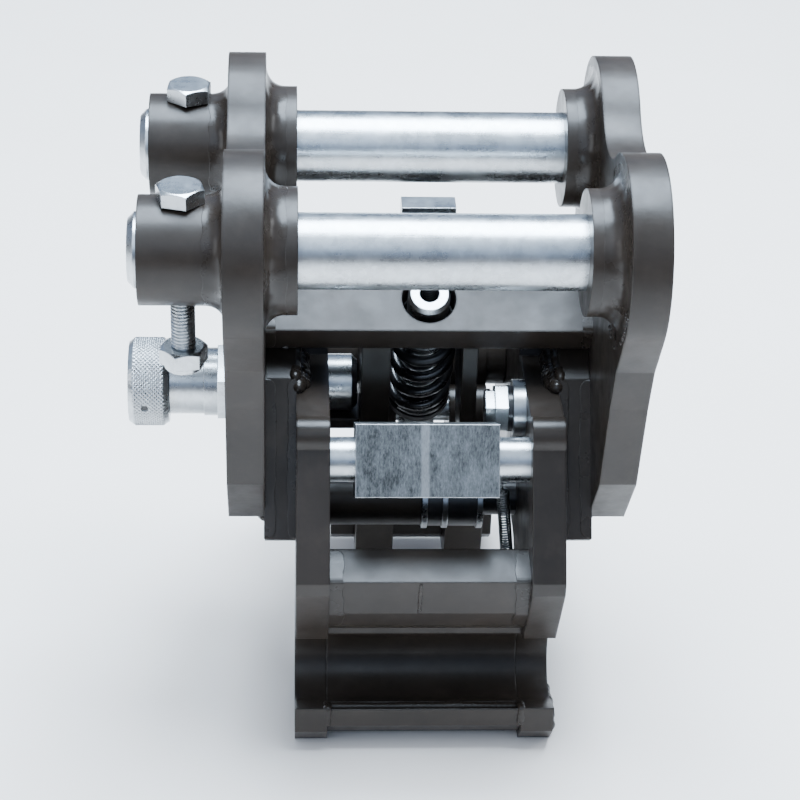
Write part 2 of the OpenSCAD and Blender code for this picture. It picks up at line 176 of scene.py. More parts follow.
def add_piece(name, shells, material, body, crease=40.0):
    """Makes one object from shells, each (grid of points, rows close, columns close), riding on a body.
    Poles and seams are merged, and the faces of each closed shell are turned outwards."""
    points = []
    quads = []
    first = 0
    for grid, rows_close, columns_close in shells:
        rows, columns = grid.shape[:2]
        points.append(grid.reshape(-1, 3))
        quads.append(grid_faces(rows, columns, rows_close, columns_close, first))
        first += rows * columns
    points = np.concatenate(points).astype(np.float32)
    quads = np.concatenate(quads).astype(np.int32)
    mesh = bpy.data.meshes.new(name)
    mesh.vertices.add(len(points))
    mesh.vertices.foreach_set("co", points.ravel())
    mesh.loops.add(quads.size)
    mesh.loops.foreach_set("vertex_index", quads.ravel())
    mesh.polygons.add(len(quads))
    mesh.polygons.foreach_set("loop_start", np.arange(0, quads.size, 4, dtype=np.int32))
    mesh.update(calc_edges=True)
    mesh.validate()
    shape = bmesh.new()
    shape.from_mesh(mesh)
    bmesh.ops.remove_doubles(shape, verts=shape.verts, dist=2e-6)
    bmesh.ops.dissolve_degenerate(shape, edges=shape.edges, dist=1e-7)
    bmesh.ops.recalc_face_normals(shape, faces=shape.faces)
    shape.to_mesh(mesh)
    shape.free()
    mesh.polygons.foreach_set("use_smooth", np.ones(len(mesh.polygons), bool))
    mesh.set_sharp_from_angle(angle=math.radians(crease))
    mesh.materials.append(material)
    piece = bpy.data.objects.new(name, mesh)
    bpy.context.scene.collection.objects.link(piece)
    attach(piece, body)
    return piece


def unit(vectors):
    """Vectors divided by their lengths."""
    return vectors / np.linalg.norm(vectors, axis=-1, keepdims=True)


def wavering(angle, seed, strength):
    """A closed wave around a circle: five sine waves of whole numbers of turns, added with falling
    heights."""
    draw = np.random.default_rng(seed)
    turns = draw.integers(2, 17, 5)
    phase = draw.uniform(0.0, TURN, 5)
    height = draw.uniform(0.3, 1.0, 5) / np.arange(1, 6) ** 0.5
    waves = height * np.sin(turns * angle[..., None] + phase)
    return strength * waves.sum(axis=-1) / height.sum()


def fillet_ring(plate_x, out, y, z, radius, reach, rise, seed, strength):
    """A weld fillet around a boss along X. Its section is a hollow quarter of an ellipse from the plate,
    at radius + reach, up to the boss, at rise from the plate, closed through the corner between them.
    The reach and the rise waver around the boss, with fine ripples across the weld."""
    around = np.linspace(0.0, TURN, 192, endpoint=False)[:, None]
    swing = np.linspace(0.0, 0.5 * math.pi, 14)[None, :]
    sunk = 0.6 * MM
    hollow = 0.86
    reach_wave = 1.6
    ripple_height = 0.05 * MM
    ripple_width = 1.5 * MM
    reach_here = reach + wavering(around, seed, strength) * reach_wave
    rise_here = rise + wavering(around, seed + 1, strength)
    ripple = ripple_height * np.sin(around * (radius + reach) / ripple_width) * np.sin(2.0 * swing)
    rad = radius + reach_here * (1.0 - np.sin(swing) ** hollow) + ripple
    off = rise_here * (1.0 - np.cos(swing) ** hollow) + ripple
    corner = np.ones_like(around)
    rad = np.concatenate([rad, corner * (radius - sunk), corner * (radius - sunk), rad[:, :1]], axis=1)
    off = np.concatenate([off, off[:, -1:], corner * -sunk, corner * -sunk], axis=1)
    grid = np.stack([plate_x + out * off, y + rad * np.cos(around), z + rad * np.sin(around)], axis=-1)
    return grid, True, True


def run_length(path):
    """The distance along a path of straight stretches, at each of its points."""
    return np.concatenate([[0.0], np.cumsum(np.linalg.norm(np.diff(path, axis=0), axis=1))])


def resample(corners, step, smooth=3):
    """Points a step apart along straight stretches between corners, averaged with their neighbours to round
    the corners; the ends stay."""
    corners = np.array(corners, float)
    lengths = run_length(corners)
    count = max(int(lengths[-1] / step) + 1, 8)
    at = np.linspace(0.0, lengths[-1], count)
    path = np.stack([np.interp(at, lengths, corners[:, axis]) for axis in range(3)], axis=1)
    for _ in range(smooth):
        path[1:-1] = (path[:-2] + 2.0 * path[1:-1] + path[2:]) / 4.0
    return path


def bead(corners, radius, pitch, seed, flat=1.0, up=(1.0, 0.0, 0.0), step=0.5 * MM):
    """A weld bead: a round section carried along a path. Its radius ripples once per pitch, wavers slowly
    and closes to a point at both ends. flat squeezes the section across the up direction."""
    path = resample(corners, step)
    length = run_length(path)
    share = length / length[-1]
    draw = np.random.default_rng(seed)
    phase = draw.uniform(0.0, TURN, 3)
    ripple_height = 0.07
    tip_length = 1.5 * radius
    slow = 0.08 * np.sin(share * 9.0 + phase[0]) + 0.06 * np.sin(share * 23.0 + phase[1])
    ripple = ripple_height * np.abs(np.sin(math.pi * length / pitch + phase[2]))
    tip = np.minimum(np.minimum(length, length[-1] - length) / tip_length, 1.0)
    size = radius * (1.0 - ripple_height + slow + ripple) * np.sqrt(1.0 - (1.0 - tip) ** 2)
    run = unit(np.gradient(path, axis=0))
    side = unit(np.cross(run, np.array(up, float)))
    top = np.cross(side, run)
    angle = np.linspace(0.0, TURN, 16, endpoint=False)
    ring = (flat * np.cos(angle)[None, :, None] * side[:, None, :]
            + np.sin(angle)[None, :, None] * top[:, None, :])
    return path[:, None, :] + size[:, None, None] * ring, False, True


def corner_fillet(corners, wall_x, reach, leg, seed, step=0.6 * MM):
    """A weld fillet in the corner between a plate at wall_x and a bar's face that the path lies on. Its
    section is a hollow quarter of a circle with that leg, from the plate to reach along X on the bar's face,
    closed through the corner. The leg wavers along the path and shrinks to nothing at both ends."""
    path = resample(corners, step, smooth=8)
    path[:, 0] = wall_x
    length = run_length(path)
    draw = np.random.default_rng(seed)
    phase = draw.uniform(0.0, TURN, 2)
    share = length / length[-1]
    tip = np.clip(np.minimum(length, length[-1] - length) / leg, 0.0, 1.0)
    size = (leg * (1.0 + 0.07 * np.sin(9.0 * share + phase[0]) + 0.04 * np.sin(31.0 * share + phase[1]))
            * np.sqrt(1.0 - (1.0 - tip) ** 2))[:, None, None]
    run = unit(np.gradient(path, axis=0))
    out = np.cross(run, X_AXIS)
    swing = np.linspace(0.0, 0.5 * math.pi, 12)[None, :, None]
    curve = (path[:, None, :] + size * (1.0 - np.sin(swing)) * out[:, None, :]
             + size * (1.0 - np.cos(swing)) * (reach / leg * X_AXIS))
    sunk = 0.4 * MM * (size > 0.0)
    into_bar = -sunk * out[:, None, :]
    into_plate = -sunk * math.copysign(1.0, reach) * X_AXIS
    corner = path[:, None, :] + into_bar + into_plate
    first = curve[:, :1] + into_plate
    last = curve[:, -1:] + into_bar
    return np.concatenate([curve, last, corner, first], axis=1), False, True


def coil(start, axis, length, radius, wire, turns, dead=0.8, sides=14, steps=28):
    """A wound wire: a circle of the wire's radius carried along a helix about an axis. The first and last
    dead turns lie flat against the ends, and the wire closes to a point."""
    axis = unit(np.array(axis, float))
    across = unit(np.cross(axis, np.array([1.0, 0.3, 0.1])))
    third = np.cross(axis, across)
    turn = np.linspace(0.0, turns, int(turns * steps))
    share = np.clip((turn - dead) / (turns - 2.0 * dead), 0.0, 1.0)
    slope = share * share * (3.0 - 2.0 * share)
    even = 0.85
    first_lift = 0.55 * wire
    at = wire + (length - 2.0 * wire) * (even * share + (1.0 - even) * slope)
    at = at + first_lift * np.clip(turn / dead, 0.0, 1.0) * (share <= 0.0)
    angle = TURN * turn
    outward = np.cos(angle)[:, None] * across + np.sin(angle)[:, None] * third
    path = np.array(start, float) + radius * outward + at[:, None] * axis
    size = np.full(len(turn), wire)
    size[0] = size[-1] = 0.0
    path[0] = path[1]
    path[-1] = path[-2]
    ring = np.linspace(0.0, TURN, sides, endpoint=False)
    section = np.cos(ring)[None, :, None] * outward[:, None, :] + np.sin(ring)[None, :, None] * axis
    return path[:, None, :] + size[:, None, None] * section, False, True


def turned(x, radius, y, z, around=96, twist=0.0):
    """A surface turned about a line along X: each (x, radius) pair goes once around it."""
    angle = np.linspace(0.0, TURN, around, endpoint=False)[None, :] + twist
    x = np.array(x, float)[:, None] * np.ones_like(angle)
    radius = np.array(radius, float)[:, None]
    return np.stack([x, y + radius * np.cos(angle), z + radius * np.sin(angle)], axis=-1), False, True


def hexagon(angle, flats):
    """Radius of a hexagon of that width across flats, with a corner at angle 0."""
    sixth = math.pi / 3.0
    return 0.5 * flats / np.cos(np.mod(angle, sixth) - 0.5 * sixth)


def hex_body(x, y, low, height, flats, turn):
    """A hexagon standing on +Z with a flat foot. A 30 degree cone cuts its top: each side ends in the curve
    where the cone leaves its flat."""
    angle = np.linspace(0.0, TURN, 96, endpoint=False)
    wide = hexagon(angle, flats)
    face = 0.47 * flats
    foot = 0.999 * wide
    drop = np.clip((wide - face) * math.tan(math.radians(30.0)), 0.0, None)
    zero = np.zeros_like(wide)
    rims = [(zero, zero), (foot, zero), (wide, zero),
            (wide, height - drop), (zero + face, zero + height), (zero, zero + height)]
    rows = [np.stack([x + r * np.cos(angle + turn), y + r * np.sin(angle + turn), low + h], axis=-1)
            for r, h in rims]
    return np.stack(rows), False, True


def threaded_shank(x, y, low, high, radius, depth, pitch):
    """A screw thread along Z: the radius falls and rises once per pitch as a triangle, shifted by one pitch
    for each turn, and fades out in the tip's chamfer."""
    angle = np.linspace(0.0, TURN, 40, endpoint=False)[None, :]
    height = np.arange(low, high, pitch / 8.0)[:, None]
    phase = np.mod(height / pitch - angle / TURN, 1.0)
    flank = 1.25
    tip_chamfer = 1.4 * MM
    wave = np.clip(flank * np.abs(2.0 * phase - 1.0), 0.0, 1.0)
    rad = np.minimum(radius - depth * wave, radius - tip_chamfer + (height - low))
    grid = np.stack([x + rad * np.cos(angle), y + rad * np.sin(angle), height + 0.0 * angle], axis=-1)
    bottom = np.array([x, y, low]) + 0.0 * grid[:1]
    top = np.array([x, y, float(height[-1, 0])]) + 0.0 * grid[:1]
    return np.concatenate([bottom, grid, top]), False, True


# ---------------------------------------------------------------- finishes

def new_group(name, inputs, outputs):
    """A shader node group with named inputs (name, kind, default) and outputs (name, kind)."""
    group = bpy.data.node_groups.new(name, "ShaderNodeTree")
    for label, kind, default in inputs:
        socket = group.interface.new_socket(name=label, in_out="INPUT", socket_type=kind)
        socket.default_value = default
    for label, kind in outputs:
        group.interface.new_socket(name=label, in_out="OUTPUT", socket_type=kind)
    return group, group.nodes.new("NodeGroupInput"), group.nodes.new("NodeGroupOutput")


def add_node(tree, kind, values=None, links=None, **settings):
    """Adds a node, sets its fields, the values of its inputs, and links sockets into its inputs."""
    node = tree.nodes.new("ShaderNode" + kind)
    for field, value in settings.items():
        setattr(node, field, value)
    for key, value in (values or {}).items():
        node.inputs[key].default_value = value
    for key, socket in (links or {}).items():
        tree.links.new(socket, node.inputs[key])
    return node


def feed(tree, node, values):
    """Sets a node's inputs to numbers or colours, or links sockets into them."""
    for key, value in values.items():
        if isinstance(value, (tuple, list)):
            node.inputs[key].default_value = (*value[:3], 1.0)
        elif isinstance(value, (int, float)):
            node.inputs[key].default_value = value
        else:
            tree.links.new(value, node.inputs[key])


def maths(tree, operation, first, second=0.0):
    """One Math node of two numbers or sockets."""
    node = add_node(tree, "Math", operation=operation)
    feed(tree, node, {0: first, 1: second})
    return node.outputs[0]


def weigh(tree, first, first_share, second, second_share):
    """Two values, each times its share, added."""
    return maths(tree, "ADD", maths(tree, "MULTIPLY", first, first_share),
                 maths(tree, "MULTIPLY", second, second_share))


def noise(tree, vector, scale, detail=3.0, rough=0.55, stretch=None):
    """Noise of a scale per metre, stretched along the axes if asked."""
    if stretch:
        vector = add_node(tree, "Mapping", {"Scale": stretch}, {"Vector": vector}).outputs[0]
    values = {"Scale": scale, "Detail": detail, "Roughness": rough}
    return add_node(tree, "TexNoise", values, {"Vector": vector}).outputs["Fac"]


def steps(tree, factor, low, high, to_low=0.0, to_high=1.0):
    """A Map Range node from low..high to to_low..to_high, clamped."""
    values = {"From Min": low, "From Max": high, "To Min": to_low, "To Max": to_high}
    return add_node(tree, "MapRange", values, {"Value": factor}).outputs[0]


def blend_colour(tree, factor, first, second):
    """A Mix node of two colours, which may be tuples or sockets."""
    node = add_node(tree, "Mix", data_type="RGBA")
    feed(tree, node, {0: factor, 6: first, 7: second})
    return node.outputs[2]


def shaded(colour, share):
    """A colour times a number."""
    return tuple(share * part for part in colour)


def edge_group():
    """Soft edges: a rounded normal, and a mask that is 1 where an edge is sharp and 0 on flat faces."""
    group, start, end = new_group(
        "Soft Edge", [("Radius", "NodeSocketFloat", 1.0 * MM), ("Wear And Highlight Radius", "NodeSocketFloat", 1.0 * MM)],
        [("Mask", "NodeSocketFloat"), ("Normal", "NodeSocketVector")])
    rounding = add_node(group, "Bevel", links={"Radius": start.outputs["Radius"]}, samples=6)
    # The second bevel's mask marks sharp edges: paint chips on the paint, and the painted edge highlight on
    # the cut block.
    wear = add_node(group, "Bevel", links={"Radius": start.outputs["Wear And Highlight Radius"]}, samples=6)
    flat = add_node(group, "NewGeometry")
    dot = add_node(group, "VectorMath", links={0: wear.outputs[0], 1: flat.outputs["Normal"]},
                   operation="DOT_PRODUCT")
    mask = steps(group, dot.outputs["Value"], 0.995, 0.75)
    group.links.new(mask, end.inputs["Mask"])
    group.links.new(rounding.outputs[0], end.inputs["Normal"])
    return group


def coat_group():
    """Brushed-on paint: cloudy tone, sags and orange peel as height, and a noise mask of dust."""
    group, start, end = new_group(
        "Paint Coat", [("Peel", "NodeSocketFloat", 0.22)],
        [(label, "NodeSocketFloat") for label in ("Tone", "Dust", "Height", "Gloss")])
    place = add_node(group, "TexCoord").outputs["Object"]
    cloud = noise(group, place, 28.0, 5.0, 0.6)
    dust = steps(group, noise(group, place, 60.0, 6.0, 0.68), 0.50, 0.72)
    sag = noise(group, place, 55.0, 2.0, 0.45, stretch=(1.0, 1.0, 0.35))
    peel = noise(group, place, 420.0, 3.0, 0.5)
    height = maths(group, "ADD", sag, maths(group, "MULTIPLY", peel, start.outputs["Peel"]))
    gloss = noise(group, place, 75.0, 4.0, 0.6)
    for label, socket in (("Tone", cloud), ("Dust", dust), ("Height", height), ("Gloss", gloss)):
        group.links.new(socket, end.inputs[label])
    return group


def plating_group():
    """Bright zinc: pale clouds, a faint crystal pattern and fine streaks along X, as tone, gloss and height,
    and a mask of stains."""
    group, start, end = new_group(
        "Zinc Plating", [("Streak", "NodeSocketFloat", 1.0)],
        [(label, "NodeSocketFloat") for label in ("Tone", "Gloss", "Height", "Stain")])
    place = add_node(group, "TexCoord").outputs["Object"]
    cloud = noise(group, place, 70.0, 6.0, 0.66)
    crystal = add_node(group, "TexVoronoi", {"Scale": 420.0}, {"Vector": place}).outputs["Color"]
    crystal = add_node(group, "SeparateColor", links={"Color": crystal}).outputs[0]
    streak = noise(group, place, 500.0, 3.0, 0.6, stretch=(0.05, 1.0, 1.0))
    streak = maths(group, "MULTIPLY", streak, start.outputs["Streak"])
    tone = weigh(group, cloud, 0.75, crystal, 0.15)
    gloss = weigh(group, cloud, 0.7, streak, 0.3)
    height = weigh(group, streak, 0.6, cloud, 0.8)
    stain = steps(group, noise(group, place, 33.0, 5.0, 0.7), 0.52, 0.75)
    for label, socket in (("Tone", tone), ("Gloss", gloss), ("Height", height), ("Stain", stain)):
        group.links.new(socket, end.inputs[label])
    return group


def new_material(name):
    """An empty material with a Principled surface."""
    material = bpy.data.materials.new(name)
    material.use_nodes = True
    return material, material.node_tree, material.node_tree.nodes["Principled BSDF"]


def place_group(tree, group, values=None):
    """Puts a shared group into a material's tree with its own values."""
    node = tree.nodes.new("ShaderNodeGroup")
    node.node_tree = group
    for key, value in (values or {}).items():
        node.inputs[key].default_value = value
    return node


def bump(tree, shader, height, strength, distance, normal=None):
    """Bump from a height, on top of a rounded normal."""
    links = {"Height": height}
    if normal:
        links["Normal"] = normal
    node = add_node(tree, "Bump", {"Strength": strength, "Distance": distance}, links)
    tree.links.new(node.outputs[0], shader.inputs["Normal"])


def paint_material(name, colour, shared, rough, soft, lump):
    """Semi-gloss grey paint over steel, worn thin on its edges, dusty in patches."""
    material, tree, shader = new_material(name)
    coat = place_group(tree, shared["coat"])
    edge = place_group(tree, shared["edge"], {"Radius": soft, "Wear And Highlight Radius": 0.7 * MM})
    dark = shaded(colour, 0.72)
    light = shaded(colour, 1.3)
    body = blend_colour(tree, steps(tree, coat.outputs["Tone"], 0.3, 0.7), dark, light)
    dusty = maths(tree, "MULTIPLY", coat.outputs["Dust"], 0.22)
    brown = blend_colour(tree, dusty, body, (0.060, 0.045, 0.036))
    chip = maths(tree, "MULTIPLY", edge.outputs["Mask"], steps(tree, coat.outputs["Gloss"], 0.5, 0.62))
    worn = blend_colour(tree, maths(tree, "MULTIPLY", chip, 0.45), brown, (0.15, 0.138, 0.128))
    gloss = steps(tree, coat.outputs["Gloss"], 0.3, 0.7, rough - 0.07, rough + 0.12)
    feed(tree, shader, {"Base Color": worn, "Roughness": gloss, "Specular IOR Level": 0.28,
                        "Coat Weight": 0.06, "Coat Roughness": 0.16})
    bump(tree, shader, coat.outputs["Height"], lump, 0.8 * MM, edge.outputs["Normal"])
    return material


def zinc_material(name, colour, shared, rough, streak, stain_colour):
    """Bright zinc plating, cloudy and slightly stained, with soft edges."""
    material, tree, shader = new_material(name)
    plating = place_group(tree, shared["plating"], {"Streak": streak})
    edge = place_group(tree, shared["edge"], {"Radius": 0.5 * MM, "Wear And Highlight Radius": 0.5 * MM})
    dull = shaded(colour, 0.66)
    body = blend_colour(tree, steps(tree, plating.outputs["Tone"], 0.25, 0.65), dull, colour)
    stained = blend_colour(tree, maths(tree, "MULTIPLY", plating.outputs["Stain"], 0.4), body, stain_colour)
    rubbed = maths(tree, "MULTIPLY", edge.outputs["Mask"], 0.6)
    bright = blend_colour(tree, rubbed, stained, (0.9, 0.91, 0.92))
    gloss = steps(tree, plating.outputs["Gloss"], 0.25, 0.75, rough - 0.06, rough + 0.16)
    feed(tree, shader, {"Base Color": bright, "Roughness": gloss, "Metallic": 1.0})
    bump(tree, shader, plating.outputs["Height"], 0.22, 0.25 * MM, edge.outputs["Normal"])
    return material


def cut_material(name, colour, shared, stripe_x):
    """Flame-cut plated steel: striations down the face, scratches, one paler stripe and bright rims, which
    are a painted edge highlight.
    """
    material, tree, shader = new_material(name)
    place = add_node(tree, "TexCoord").outputs["Object"]
    edge = place_group(tree, shared["edge"], {"Radius": 0.5 * MM, "Wear And Highlight Radius": 0.9 * MM})
    lines = noise(tree, place, 1500.0, 4.0, 0.75, stretch=(1.0, 0.3, 0.3))
    broad = noise(tree, place, 150.0, 5.0, 0.65, stretch=(1.0, 0.45, 0.45))
    mix = weigh(tree, lines, 0.5, broad, 0.5)
    body = blend_colour(tree, steps(tree, mix, 0.40, 0.64), shaded(colour, 0.3),
                        shaded(colour, 1.7))
    across = add_node(tree, "SeparateXYZ", links={"Vector": place}).outputs[0]
    away = maths(tree, "ABSOLUTE", maths(tree, "SUBTRACT", across, stripe_x))
    stripe = steps(tree, away, 2.2 * MM, 1.2 * MM)
    pale = blend_colour(tree, maths(tree, "MULTIPLY", stripe, 0.4), body, (0.66, 0.68, 0.69))
    # Painted highlight: the sharp edges are lightened towards near-white as an edge highlight.
    rim_highlight = blend_colour(tree, maths(tree, "MULTIPLY", edge.outputs["Mask"], 0.85), pale, (0.85, 0.86, 0.87))
    gloss = steps(tree, mix, 0.35, 0.65, 0.55, 0.3)
    feed(tree, shader, {"Base Color": rim_highlight, "Roughness": gloss, "Metallic": 0.85})
    bump(tree, shader, mix, 0.55, 0.5 * MM, edge.outputs["Normal"])
    return material


def black_material(name, colour, shared, rough):
    """Gloss black over spring steel, slightly dusty."""
    material, tree, shader = new_material(name)
    coat = place_group(tree, shared["coat"])
    edge = place_group(tree, shared["edge"], {"Radius": 0.4 * MM, "Wear And Highlight Radius": 0.5 * MM})
    dust = maths(tree, "MULTIPLY", coat.outputs["Dust"], 0.3)
    wear = maths(tree, "MULTIPLY", edge.outputs["Mask"], 0.4)
    dusty = blend_colour(tree, dust, colour, (0.07, 0.062, 0.055))
    worn = blend_colour(tree, wear, dusty, (0.16, 0.155, 0.15))
    gloss = steps(tree, coat.outputs["Gloss"], 0.3, 0.7, rough, rough + 0.2)
    feed(tree, shader, {"Base Color": worn, "Roughness": gloss, "Coat Weight": 0.5, "Coat Roughness": 0.12})
    bump(tree, shader, coat.outputs["Height"], 0.12, 0.4 * MM, edge.outputs["Normal"])
    return material


def floor_material():
    """Pale studio floor with the faintest mottling."""
    material, tree, shader = new_material("Studio Floor")
    place = add_node(tree, "TexCoord").outputs["Object"]
    tone = steps(tree, noise(tree, place, 9.0, 4.0, 0.6), 0.3, 0.7)
    mottled = blend_colour(tree, tone, (0.955, 0.88, 0.81), (0.98, 0.91, 0.845))
    feed(tree, shader, {"Base Color": mottled, "Roughness": 0.75})
    return material


def make_finishes():
    """Builds every finish once and returns them by name."""
    colours = bpy.context.scene.coupler_finish
    shared = {"edge": edge_group(), "coat": coat_group(), "plating": plating_group()}
    paint = tuple(colours.paint)
    zinc = tuple(colours.zinc)
    blue_stain = (0.47, 0.52, 0.58)
    warm_stain = (0.55, 0.50, 0.44)
    block = CORNERS["catch_block"].mean(axis=0)
    return {
        "plate": paint_material("Plate Paint", paint, shared, 0.36, 1.3 * MM, 0.20),
        "boss": paint_material("Boss Paint", shaded(paint, 1.05), shared, 0.34, 1.0 * MM, 0.16),
        "weld": paint_material("Weld Paint", shaded(paint, 0.95), shared, 0.27, 0.6 * MM, 0.2),
        "pin": zinc_material("Pin Zinc", zinc, shared, 0.24, 1.0, blue_stain),
        "zinc": zinc_material("Hardware Zinc", zinc, shared, 0.28, 0.4, warm_stain),
        "knob": zinc_material("Knob Zinc", shaded(zinc, 0.96), shared, 0.3, 0.2, blue_stain),
        "cut": cut_material("Cut Steel", tuple(colours.cut), shared, float(block[0]) - 1.0 * MM),
        # Painted shade: zinc darkened to 0.12 for the thread and lining inside the rod's tapped end,
        # standing in for the shade in the hole.
        "bore": zinc_material("Tapped Bore Painted Shade", shaded(zinc, 0.12), shared, 0.36, 0.2, warm_stain),
        "coil": zinc_material("Spring Steel", shaded(zinc, 0.3), shared, 0.3, 0.2, warm_stain),
        "black": black_material("Ring Black", tuple(colours.black), shared, 0.3),
        "spring": black_material("Spring Black", shaded(colours.black, 0.8), shared, 0.2),
    }


def finish(name):
    """A finish that is made the first time it's asked for."""
    if "all" not in finish.__dict__:
        finish.all = make_finishes()
    return finish.all[name]


SPECIAL_FINISH = {
    "stick_pin_front": "pin", "stick_pin_rear": "pin", "catch_pin": "pin", "pivot_shaft": "pin",
    "plunger_knob": "knob", "main_spring": "spring", "plunger_spring": "spring", "catch_spring": "spring",
}
SLOT_FINISH = {"frame_paint": "plate", "zinc_plate": "zinc", "zinc_cut": "cut", "black_steel": "black"}


def cad_finish(node, slot):
    """The finish of a CAD node: its own if it has one, a boss's for a boss, or its slot's."""
    if node in SPECIAL_FINISH:
        return SPECIAL_FINISH[node]
    return "boss" if "boss" in node else SLOT_FINISH[slot]


def add_weld(name, shells, crease=70.0):
    """A painted weld on the frame."""
    return add_piece(name, shells, finish("weld"), "frame", crease)


# ---------------------------------------------------------------- operators

class COUPLER_OT_finishes(bpy.types.Operator):
    """Give each CAD node its finish"""

    bl_idname = "coupler.finishes"
    bl_label = "Finish the CAD nodes"

    def execute(self, context):
        for part in frame["record"]["subparts"]:
            node = frame["nodes"][part["node"]]
            material = finish(cad_finish(part["node"], part["material_slot"]))
            for slot in node.material_slots:
                slot.material = material
        return {"FINISHED"}


class COUPLER_OT_boss_fillets(bpy.types.Operator):
    """Add the weld fillets around the bosses"""

    bl_idname = "coupler.boss_fillets"
    bl_label = "Boss fillets"

    def execute(self, context):
        sizes = context.scene.coupler_welds
        bosses = [node for node in frame["nodes"] if "boss" in node]
        for seed, node in enumerate(sorted(bosses)):
            low, high = CORNERS[node]
            middle = (low + high) / 2.0
            radius = float(high[2] - low[2]) / 2.0
            inner = node.startswith("inner")
            left = middle[0] < 0.0
            plate_x = low[0] if inner == left else high[0]
            out = 1.0 if inner == left else -1.0
            reach = sizes.inner_reach if inner else sizes.outer_reach
            rise = sizes.inner_rise if inner else sizes.outer_rise
            ring = fillet_ring(plate_x, out, middle[1], middle[2], radius, reach, rise, 31 * seed + 5,
                               sizes.unevenness)
            add_weld("fillet_" + node, [ring])
        return {"FINISHED"}


class COUPLER_OT_weld_beads(bpy.types.Operator):
    """Add the weld beads along the joints of the plates"""

    bl_idname = "coupler.weld_beads"
    bl_label = "Weld beads"

    def execute(self, context):
        pitch = context.scene.coupler_welds.bead_pitch
        sides = ((-1.0, "left"), (1.0, "right"))
        deck_top_front = DECK_HOLE - DECK_FRONT * DECK_ALONG
        deck_top_rear = DECK_HOLE + DECK_REAR * DECK_ALONG
        deck_low_front = deck_top_front + DECK_THICK * ROD_DOWN
        spacer_front = [(0.0050, -0.1400), (0.0440, -0.0840)]
        lip_face = [(-0.0082, -0.1753), (-0.0140, -0.1645), (-0.0180, -0.1455), (-0.0010, -0.1405)]
        deck_face = [tuple(deck_low_front[1:]), tuple(deck_top_front[1:]), tuple(deck_top_rear[1:])]
        fillets = (
            ("spacer_to_hook", spacer_front, HOOK_OUT, 3.6 * MM, 3.6 * MM),
            ("spacer_to_ear", spacer_front, EAR_IN, -4.6 * MM, 4.6 * MM),
            ("lip_to_hook", lip_face, HOOK_IN, -6.0 * MM, 4.6 * MM),
            ("deck_to_ear", deck_face, EAR_IN, -4.0 * MM, 3.4 * MM),
        )
        for number, (name, corners, x, reach, leg) in enumerate(fillets):
            for side, word in sides:
                places = [(side * x, y, z) for y, z in corners]
                seed = 200 + 3 * number + int(side)
                add_weld(f"fillet_{name}_{word}", [corner_fillet(places, side * x, side * reach, leg, seed)])
        lower_lip = [(-0.0049, -0.2192), (-0.0160, -0.2142), (-0.0160, -0.2235)]
        ear_foot = [(0.0180, -0.1385), (0.1040, -0.1385)]
        beads = (("lower_lip_to_hook", lower_lip, HOOK_IN, 1.8 * MM),
                 ("ear_foot", ear_foot, EAR_IN, 3.4 * MM))
        for number, (name, corners, x, radius) in enumerate(beads):
            for side, word in sides:
                places = [(side * x, y, z) for y, z in corners]
                seed = 100 + 7 * number + int(side)
                add_weld(f"bead_{name}_{word}", [bead(places, radius, pitch, seed, flat=0.8)])
        on_hook = HOOK_OUT - 1.0 * MM
        runs = (
            ([(on_hook, 0.0400, -0.0880), (on_hook, 0.0755, -0.0870)], 3.8 * MM),
            ([(on_hook - 2.5 * MM, 0.0440, -0.0890), (on_hook - 2.0 * MM, 0.0740, -0.0895)], 3.0 * MM),
            ([(on_hook + 1.5 * MM, 0.0430, -0.0845), (on_hook + 1.0 * MM, 0.0700, -0.0800)], 2.6 * MM),
        )
        for side, word in sides:
            shells = []
            for number, (places, radius) in enumerate(runs):
                mirrored = [(side * x, y, z) for x, y, z in places]
                shells.append(bead(mirrored, radius, pitch, 140 + 5 * number + int(side)))
            add_weld(f"bead_spacer_top_{word}", shells)
        inside = HOOK_IN + 0.5 * MM
        seat_edge = [(-inside, -0.0085, -0.2190), (inside, -0.0085, -0.2190)]
        add_weld("bead_seat_liner", [bead(seat_edge, 2.0 * MM, 2.6 * MM, 61, up=(0.0, 0.4, 1.0))])
        seam_x = -4.0 * MM
        seam = [(seam_x, -0.0178, -0.1462), (seam_x, -0.0139, -0.1643)]
        add_weld("bead_lip_seam", [bead(seam, 0.9 * MM, 2.0 * MM, 62)])
        foot_x = HOOK_OUT - 0.5 * MM
        foot = [(foot_x, -0.0090, -0.2320), (foot_x, 0.0240, -0.2320)]
        add_weld("bead_foot_right", [bead(foot, 3.6 * MM, pitch, 63)])
        under = deck_low_front + 1.0 * MM * DECK_ALONG
        rear = under + 30.0 * MM * DECK_ALONG
        rib_x = (CORNERS["guide_rib_left"][0][0], CORNERS["guide_rib_right"][1][0])
        shells = [bead([(x, under[1], under[2]), (x, rear[1], rear[2])], 2.2 * MM, pitch, 70 + number)
                  for number, x in enumerate(rib_x)]
        add_weld("bead_ribs", shells)
        return {"FINISHED"}


